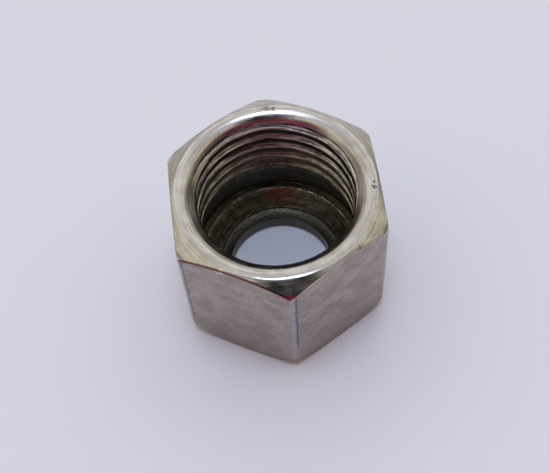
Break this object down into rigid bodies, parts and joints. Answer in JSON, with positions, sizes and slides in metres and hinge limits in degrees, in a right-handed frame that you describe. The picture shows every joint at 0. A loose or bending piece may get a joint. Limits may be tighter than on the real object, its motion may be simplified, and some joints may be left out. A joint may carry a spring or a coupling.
{
  "type": "hex union nut",
  "caption": "Hexagonal steel union nut with an internal thread, turned relief, coned seat and a smaller through bore for a tube.",
  "frame": {"origin": "centre of the flat base at the tube end, on the nut's axis", "axes": "+Z along the nut's axis, from the tube end to the open thread end; -Y through one corner of the hexagon; +X square to a pair of flats"},
  "size_m": [0.019, 0.0216, 0.0155],
  "materials": {
    "plated_steel": "bright plated steel, satin brushed on the flats, dull and grimy in the bore"
  },
  "bodies": {
    "root": {"nut_body": "plated_steel"}
  },
  "joints": []
}
